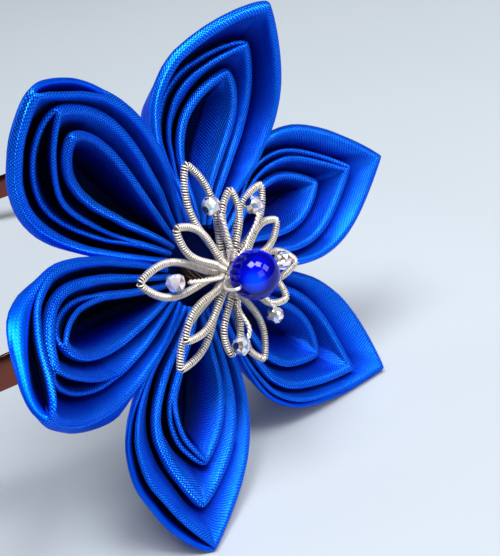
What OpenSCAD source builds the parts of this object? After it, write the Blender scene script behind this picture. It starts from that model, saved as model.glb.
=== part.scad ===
// Kanzashi headband. A flower of six folded satin petals, with a smaller flower of coiled wire,
// six crystals and a glass bead at its heart, sits to one side of a flat polished headband.
// The whole lies on its side, on two petal tips and one end of the band, on the plane z = 0.

/* [Headband] */
// Inside radius of the round part of the band
band_r = 64; // [60:0.5:68]
// Width of the steel strip
band_w = 7; // [5:0.5:9]
// Thickness of the steel strip
band_t = 1; // [0.8:0.1:1.2]
// Length of each straight leg, to the middle of its round end
band_leg = 57; // [45:1:65]

/* [Flower place] */
// Turn of the flower round the band, away from the crown towards one leg
flower_turn = 40; // [30:1:45]
// Twist of the petals against the line of the band
flower_twist = 33; // [30:1:36]
// Tilt of the band along its legs as it rests
rest_pitch = -12.332; // [-13.3:0.001:-11.3]
// Tilt of the band across its legs as it rests
rest_roll = 9.146; // [8.1:0.001:10.1]
// Place of the middle of the band's arc along x
rest_x = 14.54; // [12.5:0.01:16.5]
// Place of the middle of the band's arc along y
rest_y = 18.37; // [16.4:0.01:20.4]
// Height of the middle of the band's arc above the surface it rests on
rest_z = 25.803; // [23.8:0.001:27.8]

/* [Petals] */
// Number of petals
petal_count = 6; // [6:1:6]
// Distance of the petals' roots from the middle of the flower
petal_root_r = 8.5; // [8.5:0.1:9]
// Thickness of a folded satin wall
wall_t = 1.2; // [1:0.05:1.3]
// Thickness of the rolled rim along the top of an outer wall, near the tip
rim_t = 2.6; // [2.2:0.05:2.7]
// Pitch of the walls where they are pinched together at a root
root_pitch = 1.5; // [1.45:0.05:1.6]
// Height of the rims at the root
root_z = -12; // [-12:0.1:-11]
// Depth of the walls at the root
root_depth = 2.8; // [2.6:0.1:2.9]

/* [Backing] */
// Radius of the plain disc that joins the petals to the band
disc_r = 10; // [9:0.5:11]
// Thickness of the disc
disc_t = 1.3; // [1.2:0.1:1.4]

/* [Wire flower] */
// Diameter of the coiled wire
coil_d = 1.6; // [1.4:0.05:1.6]
// Diameter of the twisted wire that holds a crystal
stem_d = 1; // [0.8:0.1:1]
// Diameter of the wire that holds the bead
bead_wire_d = 0.8; // [0.7:0.1:0.8]
// Height of the outer ring of loops
outer_loop_z = -4.1; // [-4.2:0.1:-4.1]
// Height of the inner ring of loops
inner_loop_z = -2.1; // [-2.1:0.1:-2]
// Radius of the bound knot of wire under the loops
hub_r = 4.2; // [4:0.1:4.3]

/* [Stones] */
// Diameter of the round glass bead
bead_d = 10; // [9:0.5:10]
// Diameter of a crystal
crystal_d = 4; // [3.5:0.1:4]

/* [Hidden] */

// Small space between pieces that touch on the real thing
gap = 0.3;

// Satin colours, from the outer fold to the inner one, and the metals and glass
FOLD_COLOURS = ["#0b46c8", "#0a3db4", "#0934a0"];
STEEL_COLOUR = "#c9c6c2";
FELT_COLOUR = "#0a1f66";
WIRE_COLOUR = "#d8d2c4";
STEM_COLOUR = "#c4beb2";
BEAD_COLOUR = "#1a2fe0";
CRYSTAL_COLOUR = "#e6eef4";

// Names of the three nested folds and of the petals, counterclockwise from the top one
FOLD_NAMES = ["outer", "middle", "inner"];
PETAL_NAMES = ["top", "upper_left", "lower_left", "bottom", "lower_right", "upper_right"];
LOOP_NAMES = ["outer", "inner"];

// Columns of a fold's row. Side a is the counterclockwise side of the petal and side b the other.
// length: reach of the tip from the middle, sway: sideways offset of the tip, rise: its height,
// wide: half-width, full: fullness of the shoulder near the tip, dip: sag of the rim past its
// middle, bow: sideways curve of the whole fold
LENGTH = 0;
SWAY = 1;
RISE = 2;
WIDE = [3, 4];
FULL = [5, 6];
DIP = 7;
BOW = 8;

// One row for each petal, in the order of PETAL_NAMES
OUTER_FOLDS = [
    // length, sway, rise, wide a, wide b, full a, full b, dip, bow
    [52.0, -3.2,   0.5, 15.0, 10.7,  0.45,  0.26,  1.7,  1.1],
    [54.6, -0.8,  -4.8, 14.2, 10.0,  0.55,  0.40,  3.5, -1.0],
    [53.7, -3.5,   3.4,  8.3, 17.6,  0.57,  0.36,  5.0,  2.3],
    [56.4, -2.1,  -3.9, 11.2, 16.0,  0.24,  0.27,  1.7,  0.3],
    [56.2,  5.1,  -1.4, 13.1, 14.2,  0.27,  0.21,  2.4, -1.8],
    [52.9, -0.4,  -0.8, 13.8, 13.2,  0.24,  0.19,  2.1,  0.7]
];
MIDDLE_FOLDS = [
    [44.9, -2.7,  -4.6,  9.6,  7.5,  0.50,  0.37,  2.2,  2.5],
    [49.3, -0.9,  -5.6,  8.8,  8.0,  0.48,  0.40,  3.5,  0.3],
    [45.8, -5.4,  -2.8,  7.7, 10.5,  0.58,  0.57,  3.1,  0.8],
    [47.4, -4.3,  -4.7,  9.3,  9.6,  0.36,  0.05,  2.0,  0.6],
    [48.6,  1.4,  -3.8,  9.2, 10.3, -0.01,  0.10,  2.1, -1.0],
    [45.5,  0.6,  -3.9,  9.8,  9.4, -0.05,  0.06,  1.7, -0.1]
];
INNER_FOLDS = [
    [39.6, -1.6,  -8.3,  5.2,  5.5,  0.29,  0.50,  0.4,  2.5],
    [44.1,  0.2,  -5.7,  3.4,  5.3,  0.51,  0.46,  4.1,  0.5],
    [40.7, -7.5,  -5.0,  5.2,  5.0,  0.76,  0.54,  2.8,  1.0],
    [39.6, -2.3,  -6.6,  4.7,  7.3,  0.25,  0.36,  0.7,  0.7],
    [40.9,  0.5,  -8.9,  6.4,  6.3,  0.43,  0.14,  0.3, -0.8],
    [38.3,  0.3,  -8.8,  5.8,  5.7,  0.22,  0.40,  1.1,  0.1]
];
FOLDS = [OUTER_FOLDS, MIDDLE_FOLDS, INNER_FOLDS];

// Half-width between the back edges of the walls at their widest, how far the back edge of the tip
// is set in from the rim, the rise towards side a, and how far the outer fold curls outward near its
// tip on each side, for each petal: side a, side b, set in, tilt, curl a, curl b
BACKS = [
    [ 9.3,  7.2,  8.0, -0.228, 0,   0],
    [ 9.8,  6.9,  7.7, -0.339, 1.0, 0],
    [ 5.7,  9.6,  7.9,  0.086, 3.5, 3.4],
    [ 6.5,  8.4, 11.0,  0.121, 0,   0],
    [ 6.5,  8.5, 10.8, -0.031, 0,   0],
    [ 8.0,  7.5, 10.2, -0.169, 0,   0]
];
SET_IN = 2;
TILT = 3;
CURL = [4, 5];
// Share of those for each of the three folds, the depth of their walls away from the root, and the
// share of the rim's thickness
BACK_SHARE = [1, 0.48, 0.14];
SET_IN_SHARE = [1, 0.7, 0.45];
FOLD_DEPTH = [11, 9.4, 6];
RIM_SHARE = [1, 0.9, 0.8];
// Lowest height of a back edge
FLOOR_Z = -17.5;
// Slits where the two plies of a fold part: fold, petal, side, start, width, and lean of the widest
// place towards the tip
SLITS = [
    [0, 1, 1, 0.72, 1.5, 1.4],
    [0, 2, 1, 0.15, 2.0, 5.0],
    [0, 3, 1, 0.10, 1.7, 1.8],
    [0, 4, 1, 0.15, 0.5, 1.4],
    [1, 0, 0, 0.25, 1.1, 1.4],
    [1, 1, 0, 0.20, 2.6, 2.4],
    [1, 2, 0, 0.60, 2.2, 2.2],
    [1, 5, 0, 0.25, 1.2, 1.4],
    [2, 2, 1, 0.55, 1.2, 2.0],
    [2, 3, 1, 0.60, 0.6, 1.4]
];
// Steps along one side of each of the three folds
FOLD_STEPS = [11, 10, 9];

// Middle of the wire flower, in the plane of the petals
HUB_X = 0;
HUB_Y = -1.3;
// Wire loops of the outer and the inner ring: angle, reach, half-width
LOOPS = [
    [[121, 24.5, 3.3], [63, 21, 3.1], [7, 22, 3.1], [-56, 22, 3.3], [-123, 22.5, 3.2], [-175, 23.5, 3.4]],
    [[97, 17, 2.6], [42, 17, 2.7], [-17, 17.5, 2.6], [-90, 16.5, 2.5], [-135, 18.5, 2.6], [153, 18.5, 2.7]]
];
// Crystals: angle, reach, height
CRYSTALS = [
    [119.5, 15.1, -1.8],
    [74.4, 14.5, -0.9],
    [12.8, 13.8, -0.9],
    [-32, 16.5, -3.0],
    [-91, 14.3, 0.8],
    [-173, 15.3, -3.0]
];
// Height of the bead's middle, and the angle of its hole in the plane of the petals
BEAD_Z = 3.5;
BEAD_TURN = 31;

// Levels below the petals, from the roots down to the band
root_back_z = root_z - root_depth;
disc_top_z = root_back_z - 2 * gap;
disc_back_z = disc_top_z - disc_t;
// Distance of the petals' plane from the middle of the band's arc
flower_r = band_r + band_t + gap - disc_back_z;
hub_top_z = inner_loop_z - coil_d / 2 + 0.1;

function unit(v) = v / norm(v);
function lerp(a, b, t) = a + (b - a) * t;
function ease(t) = let (u = min(1, max(0, t))) u * u * (3 - 2 * u);

// Places what is drawn in the band's own frame, with the crown towards -y and the legs towards +y
module at_rest() {
    translate([rest_x, rest_y, rest_z])
        rotate([rest_pitch, rest_roll, 0])
            children();
}

// Places what is drawn in the flower's frame, with z out of the flower and y towards the top petal
module in_flower() {
    at_rest()
        rotate([0, 0, -flower_turn])
            translate([0, -flower_r, 0])
                rotate([90, 0, 0])
                    rotate([0, 0, -flower_twist])
                        children();
}

// A closed skin over rings of points, with both end rings filled by a fan
module skin(rings) {
    count = len(rings);
    sides = len(rings[0]);
    points = [for (ring = rings) for (p = ring) p];
    walls = [
        for (i = [0 : count - 2])
            for (j = [0 : sides - 1])
                let (k = (j + 1) % sides, a = i * sides, b = a + sides)
                    each [[a + j, b + j, a + k], [a + k, b + j, b + k]]
    ];
    first_cap = [for (j = [1 : sides - 2]) [0, j, j + 1]];
    last = (count - 1) * sides;
    last_cap = [for (j = [1 : sides - 2]) [last, last + j + 1, last + j]];
    polyhedron(points, concat(first_cap, walls, last_cap));
}

// Round tube of diameter d along a path, with an upright reference that the path never follows
module tube(path, d, sides, upright = [0, 0, 1]) {
    last = len(path) - 1;
    rings = [
        for (i = [0 : last])
            let (
                along = unit(path[min(i + 1, last)] - path[max(i - 1, 0)]),
                across = unit(cross(along, upright)),
                over = cross(across, along)
            )
                [for (j = [0 : sides - 1])
                    path[i] + d / 2 * (cos(360 * j / sides) * across + sin(360 * j / sides) * over)]
    ];
    skin(rings);
}

// Folded petals

// Place along a side, closer together at the root and the tip
function fold_s(fold, i) = (1 - cos(180 * i / FOLD_STEPS[fold])) / 2;

// Width of the slit at s, for one side of one fold
function slit_at(fold, petal, side, s) = max([0, for (row = SLITS)
    if (row[0] == fold && row[1] == petal && row[2] == side && s > row[3])
        row[4] * sqrt(max(0, sin(180 * pow((s - row[3]) / (1 - row[3]), row[5]))))]);

// Outward curl at s, for one side of one fold
function curl_at(fold, petal, side, s) =
    let (start = [0.35, 0.6][side])
        fold > 0 ? 0 : BACKS[petal][CURL[side]] * ease((s - start) / 0.25)
            * (1 - 0.75 * ease((s - start - 0.2) / (0.8 - start)));

// Point of the rim on side 0 (a) or 1 (b) at s, in the petal's own frame with x along the petal
function rim_point(fold, petal, side, s) =
    let (
        row = FOLDS[fold][petal],
        full = row[FULL[side]],
        sign = side == 0 ? 1 : -1,
        spread = pow(max(0, sin(180 * pow(s, 1 + 0.2 * fold + 0.7 * full))), 1 - 0.63 * full),
        pinch = root_pitch * (2.5 - fold) * pow(1 - s, 2),
        y = sign * (row[WIDE[side]] * spread + pinch) + row[BOW] * 4 * s * (1 - s) + row[SWAY] * s
    ) [
        lerp(petal_root_r, row[LENGTH], s),
        y,
        lerp(root_z, row[RISE], s) - row[DIP] * 6.75 * s * s * (1 - s)
            + BACKS[petal][TILT] * y * min(1, 4 * s)
    ];

// Point of the back edge under that rim point
function back_point(fold, petal, side, s) =
    let (
        rim = rim_point(fold, petal, side, s),
        row = FOLDS[fold][petal],
        sign = side == 0 ? 1 : -1,
        root_half = root_pitch * (2.5 - fold),
        line = [for (c = [SWAY, BOW]) (FOLDS[0][petal][c] + FOLDS[1][petal][c] + FOLDS[2][petal][c]) / 3],
        wide = max(root_half, BACKS[petal][side] * BACK_SHARE[fold]),
        half = lerp(root_half, wide, sin(90 * min(1, 2 * s))),
        blunt = sqrt(1 - pow(s, 6)),
        y = sign * half * blunt + line[0] * s + line[1] * 4 * s * (1 - s),
        depth = lerp(root_depth, FOLD_DEPTH[fold], min(1, 1.8 * s)),
        level = rim.z - BACKS[petal][TILT] * rim.y * min(1, 4 * s)
    ) [
        lerp(petal_root_r, row[LENGTH] - BACKS[petal][SET_IN] * SET_IN_SHARE[fold], s),
        y,
        max(level - depth, min(FLOOR_Z, level - 4)) + BACKS[petal][TILT] * y * min(1, 4 * s)
    ];

// Stations of one fold from the root along side b to the tip and back along side a: side, s
function fold_stations(fold) = concat(
    [for (i = [0 : FOLD_STEPS[fold]]) [1, fold_s(fold, i)]],
    [for (i = [FOLD_STEPS[fold] - 1 : -1 : 0]) [0, fold_s(fold, i)]]
);

// Cross-section of a wall: share of the way down to the back edge, depth added to that, offset to
// the outer side, and level offset outward. The rim is rolled, a slit of width g parts it into two
// plies, and the outer ply may curl outward.
function wall_section(rim, g, bulge, curl) = [
    [1, 0, wall_t / 2, 0],
    [lerp(0.5, 0.12, min(1, curl / 3)), 0, wall_t / 2 + bulge + g / 4, curl],
    [0, 0, (rim + g) / 2, 0.55 * curl],
    [0, -0.36 * rim, 0.36 * rim + g / 2, 0.2 * curl],
    [0, -0.48 * rim, 0.12 * rim + g / 2, 0],
    [0, -rim / 2 + (g > 0 ? 2.2 * g + 0.3 : 0.02), 0, g > 0 ? 0.3 * curl : 0],
    [0, -0.48 * rim, -0.12 * rim - g / 2, 0],
    [0, -0.36 * rim, -0.36 * rim - g / 2, 0],
    [0, 0, -(rim + g) / 2, 0],
    [0.5, 0, -wall_t / 2 + bulge - g / 4, 0],
    [1, 0, -wall_t / 2, 0]
];

// One of the nested folds of a petal: a wall of doubled satin that stands on its back edge
module fold_wall(fold, petal) {
    stations = fold_stations(fold);
    rim_path = [for (st = stations) rim_point(fold, petal, st[0], st[1])];
    back_path = [for (st = stations) back_point(fold, petal, st[0], st[1])];
    last = len(rim_path) - 1;
    rings = [
        for (i = [0 : last])
            let (
                side = stations[i][0],
                s = stations[i][1],
                fall = back_path[i] - rim_path[i],
                down = unit(fall),
                rim_out = outward_at(rim_path, i, down),
                back_out = outward_at(back_path, i, down),
                level_out = outward_at(rim_path, i, [0, 0, -1]),
                bulge = 0.07 * norm(fall),
                rim = lerp(wall_t - 0.1, rim_t * RIM_SHARE[fold], min(1, 1.5 * s)),
                g = slit_at(fold, petal, side, s),
                curl = curl_at(fold, petal, side, s)
            )
                [for (q = wall_section(rim, g, bulge, curl))
                    rim_path[i] + q[0] * fall + q[1] * down
                        + q[2] * lerp(rim_out, back_out, q[0]) + q[3] * level_out]
    ];
    in_flower()
        rotate([0, 0, 90 + 360 / petal_count * petal])
            color(FOLD_COLOURS[fold])
                skin(rings);
}

// Direction out of a wall at point i of a path along it, lengthened where the path turns a corner
function outward_at(path, i, down) =
    let (
        last = len(path) - 1,
        along = unit(path[min(i + 1, last)] - path[max(i - 1, 0)]),
        ahead = i == last ? along : unit(path[i + 1] - path[i]),
        out = unit(cross(down, along))
    ) out / max(0.6, ahead * along);

// Band and backing

// Flat steel strip bent to a half round with two straight legs
module headband() {
    color(STEEL_COLOUR)
        at_rest() {
            rotate_extrude(angle = -180, $fn = 96)
                translate([band_r, -band_w / 2])
                    square([band_t, band_w]);
            for (x = [-band_r - band_t, band_r])
                translate([x, 0, 0])
                    rotate([90, 0, 90])
                        linear_extrude(band_t)
                            leg_outline();
        }
}

// Outline of a straight leg, flat at the arc and round at its free end
module leg_outline() {
    translate([0, -band_w / 2])
        square([band_leg, band_w]);
    translate([band_leg, 0])
        circle(d = band_w, $fn = 48);
}

// Plain round pad between the petals' roots and the band
module flower_backing() {
    color(FELT_COLOUR)
        in_flower()
            translate([0, 0, disc_back_z])
                cylinder(r = disc_r, h = disc_t, $fn = 48);
}

// Wire flower

// Bound knot of wire that carries the loops, on a neck that stands on the backing
module wire_hub() {
    neck_r = 2.2;
    flare_z = outer_loop_z - coil_d / 2 - 3;
    color(WIRE_COLOUR)
        in_flower()
            translate([HUB_X, HUB_Y, 0])
                rotate_extrude($fn = 48)
                    polygon([
                        [0, disc_top_z + gap],
                        [neck_r + 1, disc_top_z + gap],
                        [neck_r, disc_top_z + gap + 2],
                        [neck_r, flare_z],
                        [hub_r, outer_loop_z - coil_d / 2],
                        [hub_r, hub_top_z - 0.8],
                        [hub_r - 0.8, hub_top_z],
                        [0, hub_top_z]
                    ]);
}

// Pointed loop of coiled wire, both of whose ends meet at the hub
module wire_loop(ring, index) {
    row = LOOPS[ring][index];
    z = ring == 0 ? outer_loop_z : inner_loop_z;
    start = hub_r + gap + coil_d / 2;
    steps = 9;
    foot = coil_d * 0.52;
    half = [for (i = [0 : steps])
        let (s = i / steps)
            [
                lerp(start, row[1], s),
                foot * (1 - s) + (row[2] - foot / 2) * pow(sin(180 * pow(s, 1.25)), 0.9),
                z
            ]];
    path = concat(
        [for (p = half) [p.x, -p.y, p.z]],
        [for (i = [steps - 1 : -1 : 0]) half[i]]
    );
    in_flower()
        translate([HUB_X, HUB_Y, 0])
            rotate([0, 0, row[0]])
                color(WIRE_COLOUR)
                    tube(path, coil_d, 6);
}

// Twisted wire from the knot to the top of a crystal's inner side
module crystal_stem(index) {
    row = CRYSTALS[index];
    reach_end = crystal_d / 2 + gap / 2 + stem_d / 3;
    end = [row[1] - reach_end * cos(45), 0, row[2] + reach_end * sin(45)];
    crest_z = inner_loop_z + coil_d / 2 + stem_d / 2 + 1.5 * gap;
    path = [
        [hub_r - 1, 0, hub_top_z + stem_d / 2 + gap],
        [hub_r + 1.2, 0, crest_z - 0.15],
        [hub_r + 3, 0, crest_z + 0.1],
        [lerp(hub_r + 3, end.x, 0.6), 0, max(crest_z, end.z)],
        end
    ];
    in_flower()
        translate([HUB_X, HUB_Y, 0])
            rotate([0, 0, row[0]])
                color(STEM_COLOUR)
                    tube(path, stem_d, 6, [0, 1, 0]);
}

// Cut crystal: eight sides, with a flat table and a flat culet
module crystal(index) {
    row = CRYSTALS[index];
    r = crystal_d / 2;
    rings = [for (q = [[-0.85, 0.45], [-0.25, 1], [0.25, 1], [0.85, 0.45]])
        [for (j = [0 : 7])
            [r * q[1] * cos(45 * j + 22.5), r * q[1] * sin(45 * j + 22.5), r * q[0]]]];
    in_flower()
        translate([HUB_X, HUB_Y, 0])
            rotate([0, 0, row[0]])
                translate([row[1], 0, row[2]])
                    rotate([90, 0, 0])
                        color(CRYSTAL_COLOUR)
                            skin([for (i = [3 : -1 : 0]) rings[i]]);
}

// Round bead, drilled across for its wire
module centre_bead() {
    color(BEAD_COLOUR)
        in_flower()
            translate([HUB_X, HUB_Y, BEAD_Z])
                rotate([0, 0, BEAD_TURN])
                    difference() {
                        sphere(d = bead_d, $fn = 64);
                        rotate([0, 90, 0])
                            cylinder(d = bead_wire_d + 2 * gap, h = bead_d + 1, center = true, $fn = 32);
                    }
}

// Wire that rises from the knot, passes through the bead and comes back down to the knot
module bead_wire() {
    out = bead_d / 2 + 0.9;
    foot = hub_r - 2.6;
    foot_z = hub_top_z + bead_wire_d / 2 + gap;
    half = [
        [foot, foot_z],
        [foot + 1.9, foot_z + 0.1],
        [out - 0.2, BEAD_Z - 3],
        [out, BEAD_Z - 1.2],
        [out - 0.5, BEAD_Z - 0.1],
        [out - 1.4, BEAD_Z],
        [2, BEAD_Z]
    ];
    path = concat(
        [for (p = half) [-p.x, 0, p.y]],
        [for (i = [len(half) - 1 : -1 : 0]) [half[i].x, 0, half[i].y]]
    );
    in_flower()
        translate([HUB_X, HUB_Y, 0])
            rotate([0, 0, BEAD_TURN])
                color(WIRE_COLOUR)
                    tube(path, bead_wire_d, 6, [0, 1, 0]);
}

headband();
flower_backing();
wire_hub();
centre_bead();
bead_wire();
for (f = [0 : 2])
    for (p = [0 : petal_count - 1])
        fold_wall(f, p);
for (r = [0 : 1])
    for (i = [0 : 5])
        wire_loop(r, i);
for (i = [0 : 5])
    crystal(i);
for (i = [0 : 5])
    crystal_stem(i);
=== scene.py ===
"""Looks of the kanzashi headband: folded satin, coiled wire, crystals, a glass bead and a steel band.

Places are worked out in millimetres, from the sizes and tables that the source has too, and turned
into the frame's metres where a piece is made. Angles are in degrees where a function says so.
"""
import math

import bpy
import numpy as np
from mathutils import Matrix, Vector, noise


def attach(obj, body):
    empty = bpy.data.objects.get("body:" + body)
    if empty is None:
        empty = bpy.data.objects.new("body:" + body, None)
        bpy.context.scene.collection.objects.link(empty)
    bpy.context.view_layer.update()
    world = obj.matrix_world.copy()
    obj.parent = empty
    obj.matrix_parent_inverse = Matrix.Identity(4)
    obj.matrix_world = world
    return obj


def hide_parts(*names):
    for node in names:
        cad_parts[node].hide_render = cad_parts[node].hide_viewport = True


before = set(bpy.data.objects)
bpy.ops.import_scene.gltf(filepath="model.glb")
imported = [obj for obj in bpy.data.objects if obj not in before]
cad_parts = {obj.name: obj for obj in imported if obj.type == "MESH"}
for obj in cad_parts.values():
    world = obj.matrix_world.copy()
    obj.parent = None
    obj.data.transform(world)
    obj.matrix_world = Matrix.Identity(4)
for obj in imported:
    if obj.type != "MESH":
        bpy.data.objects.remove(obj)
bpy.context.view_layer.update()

MM = 0.001

# Middle of the band's arc at rest, and the band's tilt along and across its legs
REST = (14.54, 18.37, 25.803)
REST_PITCH, REST_ROLL = -12.332, 9.146
# Turn of the flower round the band, and twist of its petals against the line of the band
FLOWER_TURN, FLOWER_TWIST = 40, 33
# Inside radius of the band's arc, width and thickness of the strip, and length of a straight leg
BAND_R, BAND_W, BAND_T, BAND_LEG = 64, 7, 1, 57
# Roots of the petals: distance from the middle, height of the rims, depth of the walls, their pitch
ROOT_R, ROOT_Z, ROOT_DEPTH, ROOT_PITCH = 8.5, -12, 2.8, 1.5
# Thickness of a satin wall and of an outer fold's rolled rim, and the space between pieces that touch
WALL_T, RIM_T, GAP = 1.2, 2.6, 0.3
# Backing: radius and thickness, and the heights of its two faces below the petals
DISC_R, DISC_T = 10, 1.3
DISC_TOP = ROOT_Z - ROOT_DEPTH - 2 * GAP
DISC_BACK = DISC_TOP - DISC_T
# Distance of the petals' plane from the middle of the band's arc
FLOWER_R = BAND_R + BAND_T + GAP - DISC_BACK


def turn(axis, degrees):
    return np.array(Matrix.Rotation(math.radians(degrees), 3, axis))


BAND_AXES = turn("Y", REST_ROLL) @ turn("X", REST_PITCH)
FLOWER_AXES = BAND_AXES @ turn("Z", -FLOWER_TURN) @ turn("X", 90) @ turn("Z", -FLOWER_TWIST)
FLOWER_AT = BAND_AXES @ turn("Z", -FLOWER_TURN) @ (0, -FLOWER_R, 0) + REST


def from_flower(points):
    """World places in metres of points in the flower's frame, z out of it and y to the top petal."""
    return (points @ FLOWER_AXES.T + FLOWER_AT) * MM


def from_band(points):
    """World places in metres of points in the band's frame, its crown towards -y."""
    return (points @ BAND_AXES.T + REST) * MM


def from_petal(points, petal):
    """World places in metres of points in a petal's frame, x along the petal."""
    return from_flower(points @ turn("Z", 90 + 360 / len(PETAL_NAMES) * petal).T)


# Shared helpers

def ease(t):
    u = np.clip(t, 0, 1)
    return u * u * (3 - 2 * u)


def unit(v):
    return v / np.maximum(np.linalg.norm(v, axis=-1, keepdims=True), 1e-9)


def run_along(path):
    """Way along a path from its start to each of its points."""
    return np.concatenate([[0], np.cumsum(np.linalg.norm(np.diff(path, axis=0), axis=1))])


def add_mesh(name, points, faces, material, uv=None, smooth=True):
    """A mesh object from points in metres, with UV layers from a dictionary of arrays of pairs."""
    mesh = bpy.data.meshes.new(name)
    mesh.from_pydata([tuple(p) for p in points], [], faces)
    for layer_name, values in (uv or {}).items():
        layer = mesh.uv_layers.new(name=layer_name)
        corner = np.empty(len(mesh.loops), dtype=np.int32)
        mesh.loops.foreach_get("vertex_index", corner)
        layer.data.foreach_set("uv", np.asarray(values, np.float32)[corner].ravel())
    mesh.polygons.foreach_set("use_smooth", np.full(len(mesh.polygons), smooth))
    mesh.materials.append(material)
    mesh.update()
    obj = bpy.data.objects.new(name, mesh)
    bpy.context.scene.collection.objects.link(obj)
    return obj


def piece(name, solid, points, faces, material, uv=None, smooth=True):
    """A mesh that rides the one body and replaces its plain solid."""
    obj = add_mesh(name, points, faces, material, uv, smooth)
    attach(obj, "root")
    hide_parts(solid)
    return obj


def paint(obj, material, chosen):
    """Give the chosen faces of a piece a second material."""
    obj.data.materials.append(material)
    which = np.zeros(len(obj.data.polygons), np.int32)
    which[chosen] = 1
    obj.data.polygons.foreach_set("material_index", which)


def skin_faces(count, sides, start=0, closed=True, flip=False):
    """Quads between rows of points that follow each other in a list, from its point `start` on."""
    faces = []
    for i in range(count - 1):
        for j in range(sides if closed else sides - 1):
            k = (j + 1) % sides
            a = start + i * sides
            quad = (a + j, a + sides + j, a + sides + k, a + k)
            faces.append(quad[::-1] if flip else quad)
    return faces


def end_caps(count, sides):
    """Faces that close the first and the last ring of a skin."""
    total = count * sides
    return [tuple(range(sides)), tuple(range(total - 1, total - 1 - sides, -1))]


def turned(profile, sides):
    """Rings of points round z from a profile of radius and height."""
    a = 2 * np.pi * np.arange(sides) / sides
    return np.array([[r * math.cos(t), r * math.sin(t), z] for r, z in profile for t in a])


def join(parts):
    """One list of points and one of faces from several pairs of them."""
    points, faces, start = [], [], 0
    for p, f in parts:
        points.append(p)
        faces += [tuple(i + start for i in face) for face in f]
        start += len(p)
    return np.concatenate(points), faces


# Petals. Side a (0) is the counterclockwise side of a petal, seen from the front, and b (1) the other.

FOLD_NAMES = ("outer", "middle", "inner")
PETAL_NAMES = ("top", "upper_left", "lower_left", "bottom", "lower_right", "upper_right")
# For each fold, a row for each petal: length, sway, rise, wide a, wide b, full a, full b, dip, bow
FOLDS = np.array([
    [
        [52.0, -3.2, 0.5, 15.0, 10.7, 0.45, 0.26, 1.7, 1.1],
        [54.6, -0.8, -4.8, 14.2, 10.0, 0.55, 0.40, 3.5, -1.0],
        [53.7, -3.5, 3.4, 8.3, 17.6, 0.57, 0.36, 5.0, 2.3],
        [56.4, -2.1, -3.9, 11.2, 16.0, 0.24, 0.27, 1.7, 0.3],
        [56.2, 5.1, -1.4, 13.1, 14.2, 0.27, 0.21, 2.4, -1.8],
        [52.9, -0.4, -0.8, 13.8, 13.2, 0.24, 0.19, 2.1, 0.7],
    ],
    [
        [44.9, -2.7, -4.6, 9.6, 7.5, 0.50, 0.37, 2.2, 2.5],
        [49.3, -0.9, -5.6, 8.8, 8.0, 0.48, 0.40, 3.5, 0.3],
        [45.8, -5.4, -2.8, 7.7, 10.5, 0.58, 0.57, 3.1, 0.8],
        [47.4, -4.3, -4.7, 9.3, 9.6, 0.36, 0.05, 2.0, 0.6],
        [48.6, 1.4, -3.8, 9.2, 10.3, -0.01, 0.10, 2.1, -1.0],
        [45.5, 0.6, -3.9, 9.8, 9.4, -0.05, 0.06, 1.7, -0.1],
    ],
    [
        [39.6, -1.6, -8.3, 5.2, 5.5, 0.29, 0.50, 0.4, 2.5],
        [44.1, 0.2, -5.7, 3.4, 5.3, 0.51, 0.46, 4.1, 0.5],
        [40.7, -7.5, -5.0, 5.2, 5.0, 0.76, 0.54, 2.8, 1.0],
        [39.6, -2.3, -6.6, 4.7, 7.3, 0.25, 0.36, 0.7, 0.7],
        [40.9, 0.5, -8.9, 6.4, 6.3, 0.43, 0.14, 0.3, -0.8],
        [38.3, 0.3, -8.8, 5.8, 5.7, 0.22, 0.40, 1.1, 0.1],
    ],
])
LENGTH, SWAY, RISE, WIDE, FULL, DIP, BOW = 0, 1, 2, 3, 5, 7, 8
# Back edges, a row for each petal: side a, side b, set in, tilt, curl a, curl b
BACKS = np.array([
    [9.3, 7.2, 8.0, -0.228, 0, 0],
    [9.8, 6.9, 7.7, -0.339, 1.0, 0],
    [5.7, 9.6, 7.9, 0.086, 3.5, 3.4],
    [6.5, 8.4, 11.0, 0.121, 0, 0],
    [6.5, 8.5, 10.8, -0.031, 0, 0],
    [8.0, 7.5, 10.2, -0.169, 0, 0],
])
SET_IN, TILT, CURL = 2, 3, 4
# For each fold: share of the back edge's width and set-in, depth, and share of the rim's thickness
BACK_SHARE, SET_IN_SHARE, FOLD_DEPTH, RIM_SHARE = (1, 0.48, 0.14), (1, 0.7, 0.45), (11, 9.4, 6), (1, 0.9, 0.8)
# Lowest height of a back edge
FLOOR_Z = -17.5
# Slits where the two plies part: fold, petal, side, start, width, lean of the widest place to the tip.
# They are the source's, but in the outer folds of petals 2 and 3 the widest place is nearer to the tip,
# and 0.3 mm wider in petal 2.
SLITS = (
    (0, 1, 1, 0.72, 1.5, 1.4),
    (0, 2, 1, 0.15, 2.3, 14.0),
    (0, 3, 1, 0.10, 1.7, 4.0),
    (0, 4, 1, 0.15, 0.5, 1.4),
    (1, 0, 0, 0.25, 1.1, 1.4),
    (1, 1, 0, 0.20, 2.6, 2.4),
    (1, 2, 0, 0.60, 2.2, 2.2),
    (1, 5, 0, 0.25, 1.2, 1.4),
    (2, 2, 1, 0.55, 1.2, 2.0),
    (2, 3, 1, 0.60, 0.6, 1.4),
)
# How far the inner ply of the outer and middle folds leans over to the next fold, a row for each
# petal: side a, side b, tip
LAPS = np.array([
    [0.8, 1.0, 0.9],
    [0.1, 1.0, 0.5],
    [0.8, 0.6, 0.6],
    [1.0, 1.0, 0.9],
    [1.0, 0.6, 1.0],
    [0.9, 1.0, 1.0],
])
# Depth over which painted shade darkens the hollow of an inner fold, a row for each petal: side a, side b
HOLLOW_SHADE = ((2.2, 7.0), (1.1, 2.3), (2.4, 0.8), (2.7, 1.4), (5.5, 4.0), (1.9, 3.8))

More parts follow.
